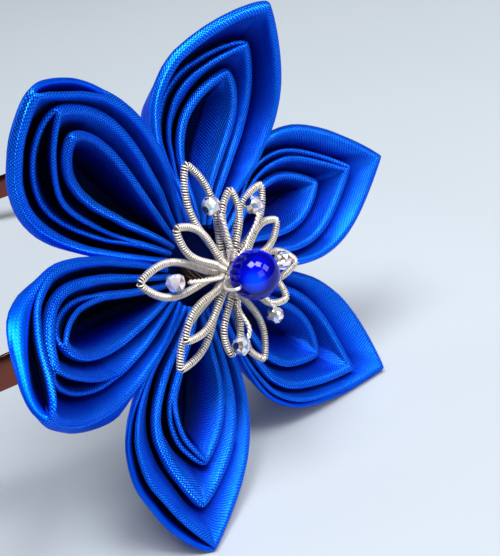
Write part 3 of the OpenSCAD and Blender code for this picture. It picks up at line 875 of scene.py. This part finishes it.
def crystal_stem(index, wire):
    path = stem_path(index)
    points, faces = join([
        wound(path, STEM_HELIX_R, STEM_WIRE_R, STEM_PITCH, 14, 6, (0, 1, 0), phase)
        for phase in (0, math.pi)
    ])
    number = index + 1
    piece(f"twist_{number}", f"crystal_stem_{number}", from_hub(points, CRYSTALS[index][0]), faces, wire)


# Rings of a crystal from culet to table: height and size as shares of its radius, turn in sides
CRYSTAL_RINGS = (
    (-0.85, 0.42, 0),
    (-0.6, 0.8, 0.5),
    (-0.12, 1, 0),
    (0.12, 1, 0),
    (0.6, 0.8, 0.5),
    (0.85, 0.42, 0),
)


def crystal(index, glass, hole):
    """Cut crystal: a table, a crown, a girdle and a pavilion of flat facets, its two end facets closed and
    dark with the painted shade of a hole.
    """
    angle, reach, z = CRYSTALS[index]
    r, sides = CRYSTAL_D / 2, 8
    rings = []
    for level, size, shift in CRYSTAL_RINGS:
        a = 2 * np.pi * (np.arange(sides) + 0.5 + shift) / sides
        rings.append(np.stack([r * size * np.cos(a), r * size * np.sin(a), np.full(sides, r * level)], 1))
    points = np.concatenate(rings)
    faces = []
    for i in range(len(rings) - 1):
        a, b = i * sides, (i + 1) * sides
        for j in range(sides):
            k = (j + 1) % sides
            # A facet's apex stands over the middle of its base
            if CRYSTAL_RINGS[i + 1][2] >= CRYSTAL_RINGS[i][2]:
                faces += [(a + j, a + k, b + j), (a + k, b + k, b + j)]
            else:
                faces += [(a + j, a + k, b + k), (a + j, b + k, b + j)]
    faces += [cap[::-1] for cap in end_caps(len(rings), sides)]
    standing = points @ turn("X", 90).T + (reach, 0, z)
    name = f"crystal_{index + 1}"
    stone = piece("cut_" + name, name, from_hub(standing, angle), faces, glass, smooth=False)
    # The two end facets are painted dark blue: painted shade where the hole would be
    paint(stone, hole, [-2, -1])


def centre_bead(glass):
    """Round bead turned about its own hole."""
    r, hole = BEAD_D / 2, BEAD_WIRE_D / 2 + 0.3
    steps, hole_steps, sides = 40, 6, 64
    low = math.asin(hole / r)
    profile = [(r * math.sin(t), r * math.cos(t)) for t in np.linspace(low, math.pi - low, steps)]
    profile += [(hole, x) for x in np.linspace(profile[-1][1], profile[0][1], hole_steps + 2)[1:-1]]
    points = turned(profile, sides)[:, [2, 0, 1]]
    faces = []
    for i in range(len(profile)):
        a, b = i * sides, (i + 1) % len(profile) * sides
        for j in range(sides):
            k = (j + 1) % sides
            faces.append((a + j, a + k, b + k, b + j))
    piece("glass_bead", "centre_bead", from_hub(points + (0, 0, BEAD_Z), BEAD_TURN), faces, glass)


def bead_wire(wire):
    """Wire from the knot up both sides of the bead and through it."""
    out, foot, foot_z = BEAD_D / 2 + 0.9, HUB_R - 2.6, HUB_TOP + BEAD_WIRE_D / 2 + GAP
    half = np.array([
        [foot, 0, foot_z],
        [foot + 1.9, 0, foot_z + 0.1],
        [out - 0.2, 0, BEAD_Z - 3],
        [out, 0, BEAD_Z - 1.2],
        [out - 0.5, 0, BEAD_Z - 0.1],
        [out - 1.4, 0, BEAD_Z],
        [2, 0, BEAD_Z],
    ])
    path = smooth_path(np.vstack([half * (-1, 1, 1), half[::-1]]), 10)
    points, faces = tube(path, BEAD_WIRE_D / 2 - 0.05, 12, (0, 1, 0))
    piece("bead_thread", "bead_wire", from_hub(points, BEAD_TURN), faces, wire)


def knot_core():
    """Turned neck and core of the knot, and the heights of its foot and of where the neck widens."""
    foot, flare = DISC_TOP + GAP, OUTER_Z - COIL_D / 2 - 3
    profile = [
        (0.01, foot),
        (3.2, foot),
        (NECK_R, foot + 2),
        (NECK_R, flare),
        (KNOT_R, OUTER_Z - COIL_D / 2),
        (KNOT_R, HUB_TOP - 0.9),
        (NECK_R, HUB_TOP - 0.5),
        (0.01, HUB_TOP - 0.5),
    ]
    return (turned(profile, 40), skin_faces(len(profile), 40)), foot, flare


def bindings():
    """Turns of wire round the knot, one above the other, each leaning its own way."""
    turns = np.linspace(0, 2 * np.pi, 60)
    for k in range(9):
        lean = 0.3 * math.sin(2.1 * k)
        z = OUTER_Z - COIL_D / 2 + 0.1 + 0.34 * k + lean * np.cos(turns + k)
        yield tube(np.stack([BINDING_R * np.cos(turns), BINDING_R * np.sin(turns), z], 1), 0.13, 5)


def bights():
    """Short bent wires that cross the top of the knot, each turned on from the last."""
    t = np.linspace(-1, 1, 22)
    for k in range(14):
        y = 0.5 * np.sin(2 * t + k) + 0.22 * (k - 7) * (1 - t * t)
        z = HUB_TOP - 0.45 + 0.35 * (1 - t * t)
        yield tube(np.stack([BINDING_R * t, y, z], 1) @ turn("Z", 40 * k + 13).T, 0.15, 5)


def stubs():
    """Coiled ends of the loops, from the knot out to where each loop starts."""
    near, far, steps = 2.6, HUB_R + GAP + COIL_D / 2 - 0.2, 12
    reach = np.linspace(near, far, steps)
    for ring, z in ((0, OUTER_Z), (1, INNER_Z - 0.2)):
        for loop, (angle, _, _) in enumerate(LOOPS[ring]):
            for side in (-1, 1):
                y = side * (0.5 + 0.33 * (reach - near) / 2.5)
                stub = np.stack([reach, y, np.full(steps, z)], 1) @ turn("Z", angle).T
                yield wound(stub, STUB_HELIX_R, STUB_WIRE_R, STUB_PITCH, 12, 5, seed=0.3 * loop + side)


def neck_wires(foot, flare):
    """Slanting wires round the neck of the knot."""
    t = np.linspace(0, 1, 14)
    for k in range(10):
        z = foot + 0.4 + (flare - foot) * t
        a = 2.4 * t + 0.63 * k
        path = np.stack([NECK_WIRES_R * np.cos(a), NECK_WIRES_R * np.sin(a), z], 1)
        yield tube(path, 0.22, 6, (1, 0.2, 0))


def wire_hub(wire, shade_core):
    """Bound knot: a core and neck dark with painted shade, with bright wire wrapped round it and across
    its top, and wires round the neck dark with the same painted shade.
    """
    body, foot, flare = knot_core()
    bright = [*bindings(), *bights(), *stubs()]
    points, faces = join([body, *bright, *neck_wires(foot, flare)])
    knot = piece("wire_knot", "wire_hub", from_hub(points, 0), faces, wire)
    first = len(body[1])
    last = first + sum(len(part[1]) for part in bright)
    # The core, neck and neck wires get the dark painted shade
    paint(knot, shade_core, np.r_[0:first, last:len(faces)])


# Band and backing

def strip_section():
    """Outline of the strip, with softened edges: way out from the arc's inside, and along its width."""
    edge = 0.28
    corners = (
        (BAND_T - edge, BAND_W / 2 - edge, 0),
        (edge, BAND_W / 2 - edge, 90),
        (edge, -BAND_W / 2 + edge, 180),
        (BAND_T - edge, -BAND_W / 2 + edge, 270),
    )
    section = []
    for x, z, start in corners:
        for step in range(0, 91, 30):
            a = math.radians(start + step)
            section.append((x + edge * math.cos(a), z + edge * math.sin(a)))
    return section


def leg_rings(section, sign):
    """Sections of a leg from the arc to its round end."""
    rows = [(y, 1) for y in np.linspace(0, BAND_LEG, 20)]
    for t in np.linspace(0, math.pi / 2 - 0.05, 12)[1:]:
        rows.append((BAND_LEG + BAND_W / 2 * math.sin(t), math.cos(t)))
    return [[(sign * (BAND_R + x), y, z * narrowed) for x, z in section] for y, narrowed in rows]


def headband(steel):
    """Polished strip: an arc of 180 degrees and two straight legs with round ends."""
    section = strip_section()
    rings = leg_rings(section, -1)[::-1]
    for a in np.radians(np.linspace(180, 360, 97)[1:-1]):
        c, s = math.cos(a), math.sin(a)
        rings.append([((BAND_R + x) * c, (BAND_R + x) * s, z) for x, z in section])
    rings += leg_rings(section, 1)
    points = np.array(rings)
    count, sides = points.shape[:2]
    faces = skin_faces(count, sides) + end_caps(count, sides)
    piece("steel_band", "headband", from_band(points.reshape(-1, 3)), faces, steel)


def backing(material):
    """Round felt pad with softened edges."""
    top = DISC_BACK + DISC_T
    profile = [
        (0.01, DISC_BACK),
        (DISC_R - 0.5, DISC_BACK),
        (DISC_R - 0.12, DISC_BACK + 0.15),
        (DISC_R, DISC_BACK + 0.5),
        (DISC_R, top - 0.5),
        (DISC_R - 0.12, top - 0.15),
        (DISC_R - 0.5, top),
        (0.01, top),
    ]
    points, faces = turned(profile, 72), skin_faces(len(profile), 72, flip=True)
    piece("felt_pad", "flower_backing", from_flower(points), faces, material)


def build():
    """All pieces of the headband in their materials."""
    # Satin colours: painted shade in the weave's valleys, the cloth's own blue, a painted highlight on its
    # crests
    satins = (
        satin("satin_outer", (0.0, 0.004, 0.2), (0.0, 0.085, 0.86), (0.035, 0.38, 1.0), 0.3),
        satin("satin_middle", (0.0, 0.004, 0.19), (0.0, 0.08, 0.84), (0.035, 0.37, 1.0), 0.31),
        satin("satin_inner", (0.0, 0.003, 0.18), (0.0, 0.078, 0.82), (0.035, 0.36, 1.0), 0.32),
    )
    wire = metal("coil_wire", (1.0, 0.92, 0.79), 0.24, 900, 0.2, 0.6)
    # Dark brown painted shade for the coils' cores and the knot
    shade_core = metal("painted_shade_wire", (0.05, 0.03, 0.02), 0.5, 900, 0.2, 0.4)
    glass = crystal_glass()
    # Dark blue painted shade that stands for a crystal's hole
    hole = metal("crystal_hole_shade", (0.01, 0.03, 0.16), 0.15, 300, 0.05, 0.7)
    for fold, material in enumerate(satins):
        for petal in range(len(PETAL_NAMES)):
            fold_cloth(fold, petal, material)
    for ring in range(len(LOOPS)):
        for index in range(len(LOOPS[ring])):
            wire_loop(ring, index, wire, shade_core)
    for index in range(len(CRYSTALS)):
        crystal_stem(index, wire)
        crystal(index, glass, hole)
    centre_bead(cobalt_glass())
    bead_wire(wire)
    wire_hub(wire, shade_core)
    # The steel's brown colour is a painted reflection of brown surroundings
    headband(metal("steel_painted_reflection", (0.2, 0.06, 0.045), 0.12, 120, 0.05, 1.0))
    backing(felt())


# Floor, lights and camera

# Half the floor's side in metres
FLOOR_REACH = 3
# Camera fitted to the photograph. In its own axes, right, up and back: degrees that the flower faces to
# the right and up, and the place of the flower's middle
FACES_RIGHT, FACES_UP, FLOWER_SEEN_AT = 47.79, -2.35, (-1.6, 2.1, -192.7)
# Its focal length and the photograph's longer side in pixels, and the sensor's width
FOCAL_PX, LONG_SIDE_PX, SENSOR_W = 967, 556, 36
# Soft square lights: name, place from the flower's middle in metres to the camera's right, up and back,
# size in metres, power in watts, colour
LIGHTS = (
    ("key", (-0.23, 0.62, 0.57), 0.38, 8, (1, 1, 1)),
    ("second", (0.21, 0.64, 0.55), 0.36, 6.5, (1, 1, 1)),
    ("window", (-0.75, 0.14, 0.1), 0.25, 1.0, (0.9, 0.95, 1)),
    ("front", (0.4, 0.05, 0.74), 0.4, 1.2, (1, 1, 1)),
    ("side", (0.62, 0.4, 0.42), 0.35, 2.2, (1, 1, 1)),
)
WORLD_COLOUR, WORLD_STRENGTH = (0.8, 0.87, 1, 1), 0.08


def stage():
    corners = FLOOR_REACH * np.array([(-1, -1, 0), (1, -1, 0), (1, 1, 0), (-1, 1, 0)], float)
    floor = add_mesh("floor", corners, [(0, 1, 2, 3)], pale_floor(), smooth=False)


def camera():
    """The scene's camera. Gives its axes in the world as columns: right, up, back."""
    azimuth, rise = math.radians(FACES_RIGHT), math.radians(FACES_UP)
    face = np.array([math.sin(azimuth) * math.cos(rise), math.sin(rise), math.cos(azimuth) * math.cos(rise)])
    level = unit(np.cross([0, 1, 0], face))
    flower_in_camera = np.stack([level, np.cross(face, level), face], 1)
    axes = FLOWER_AXES @ flower_in_camera.T
    place = FLOWER_AT - axes @ FLOWER_SEEN_AT
    data = bpy.data.cameras.new("camera")
    data.sensor_width, data.lens = SENSOR_W, SENSOR_W * FOCAL_PX / LONG_SIDE_PX
    data.clip_start = 0.01
    obj = bpy.data.objects.new("camera", data)
    obj.matrix_world = Matrix.Translation(place * MM) @ Matrix(axes).to_4x4()
    bpy.context.scene.collection.objects.link(obj)
    bpy.context.scene.camera = obj
    return axes


def soft_light(name, at, aim, size, power, colour):
    data = bpy.data.lights.new(name, "AREA")
    data.shape, data.size, data.energy, data.color = "SQUARE", size, power, colour
    obj = bpy.data.objects.new(name, data)
    obj.location = at
    obj.rotation_euler = (Vector(aim) - Vector(at)).to_track_quat("-Z", "Y").to_euler()
    bpy.context.scene.collection.objects.link(obj)


def studio():
    """Pale floor, camera, soft lights placed by the camera's axes, and a faint sky."""
    stage()
    axes = camera()
    middle = FLOWER_AT * MM
    for name, place, size, power, colour in LIGHTS:
        soft_light(name, middle + axes @ place, middle, size, power, colour)
    world = bpy.data.worlds.new("studio")
    bpy.context.scene.world = world
    world.use_nodes = True
    sky = world.node_tree.nodes["Background"]
    put(world.node_tree, sky, Color=WORLD_COLOUR, Strength=WORLD_STRENGTH)
    bpy.context.scene.view_settings.view_transform = "Standard"


build()
studio()
